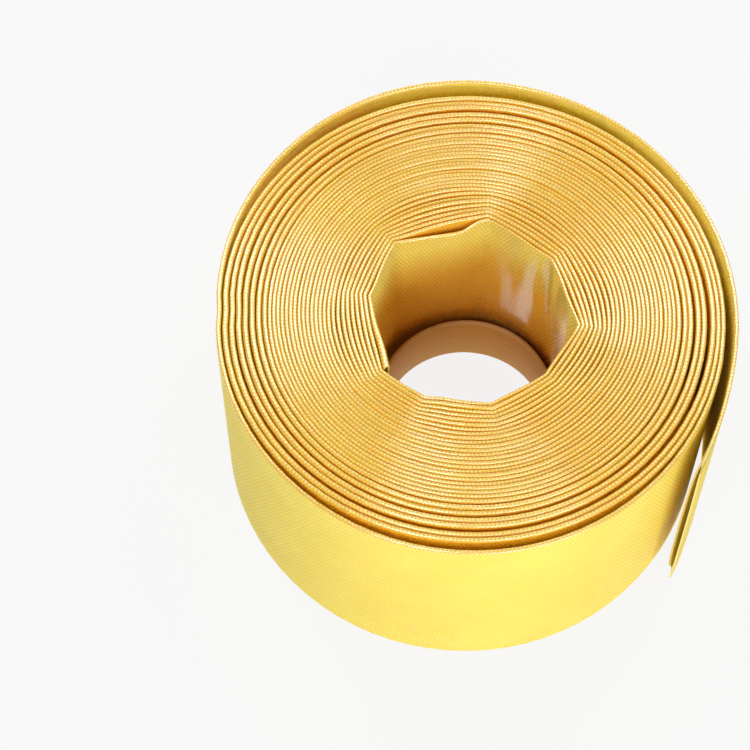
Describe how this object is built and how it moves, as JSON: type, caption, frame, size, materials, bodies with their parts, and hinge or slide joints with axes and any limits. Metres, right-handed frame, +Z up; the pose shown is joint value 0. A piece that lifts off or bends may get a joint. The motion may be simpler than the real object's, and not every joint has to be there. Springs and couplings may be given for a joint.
{
  "type": "rolled fire hose",
  "caption": "Lay-flat fire hose wound flat on itself into a roll that lies on its side, with a loose free end at the outside and a loose ring in its open core.",
  "frame": {"origin": "on the surface that the roll lies on, under the middle of the roll's outline", "axes": "+Z up along the roll's axis; +X towards the side where the free end leaves the roll; the free end points towards -Y"},
  "size_m": [0.304, 0.3112, 0.1599],
  "materials": {
    "coated_hose": "yellow coating over a woven jacket, glossy with the weave showing through",
    "woven_yarn": "woven polyester yarn, seen only at the cut end",
    "lining": "smooth orange-yellow lining of the bore",
    "ring_board": "smooth brown kraft board with a paler cut rim"
  },
  "bodies": {
    "roll": {"hose_inner_end": "coated_hose", "hose_creased_turns": "coated_hose", "hose_tight_turns": "coated_hose", "hose_loose_turns": "coated_hose", "hose_last_turn": "coated_hose"},
    "wrap_back": {"hose_wrap_back": "coated_hose"},
    "wrap_side": {"hose_wrap_side": "coated_hose"},
    "free_end": {"free_end_cover": "coated_hose", "free_end_jacket": "woven_yarn", "free_end_lining": "lining"},
    "core_ring": {"core_ring": "ring_board"}
  },
  "joints": [
    {"name": "unroll_back", "type": "hinge", "parent": "roll", "child": "wrap_back", "pos_m": [0.02175, 0.1533, 0.08], "axis": [0, 0, 1], "range_deg": [0, 45]},
    {"name": "unroll_side", "type": "hinge", "parent": "wrap_back", "child": "wrap_side", "pos_m": [0.12298, 0.08875, 0.08], "axis": [0, 0, 1], "range_deg": [0, 45]},
    {"name": "free_end_bend", "type": "hinge", "parent": "wrap_side", "child": "free_end", "pos_m": [0.14963, -0.02693, 0.08], "axis": [0, 0, 1], "range_deg": [-4, 75]},
    {"name": "core_ring_slide", "type": "slide", "parent": "roll", "child": "core_ring", "axis": [0, 0, -1], "range_m": [0, 0.05]}
  ]
}
